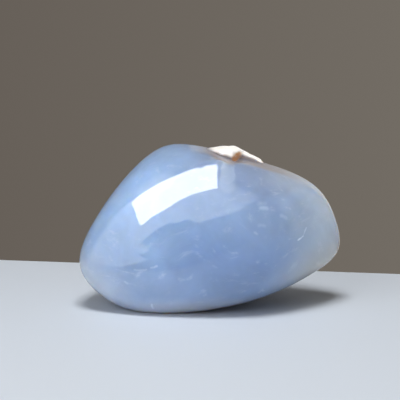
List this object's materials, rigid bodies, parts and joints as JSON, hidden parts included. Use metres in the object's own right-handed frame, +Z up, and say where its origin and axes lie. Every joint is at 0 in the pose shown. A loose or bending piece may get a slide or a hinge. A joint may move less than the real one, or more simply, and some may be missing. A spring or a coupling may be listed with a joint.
{
  "type": "polished blue chalcedony",
  "caption": "Palm-sized tumbled and polished freeform of milky blue chalcedony with a scab of white natural rind and a rust-filled pit on its crown.",
  "frame": {"origin": "middle of the stone's box, at the level of the flat that it rests on", "axes": "+X along the stone's length towards its narrow, see-through end; +Z up from the resting flat; -Y towards the broad polished front"},
  "size_m": [0.0596, 0.0356, 0.0365],
  "materials": {
    "polished_chalcedony": "translucent milky blue fibrous quartz with a glossy hand polish; white rough rind and a rust-brown pit on the crown"
  },
  "bodies": {
    "root": {"chalcedony_stone": "polished_chalcedony"}
  },
  "joints": []
}
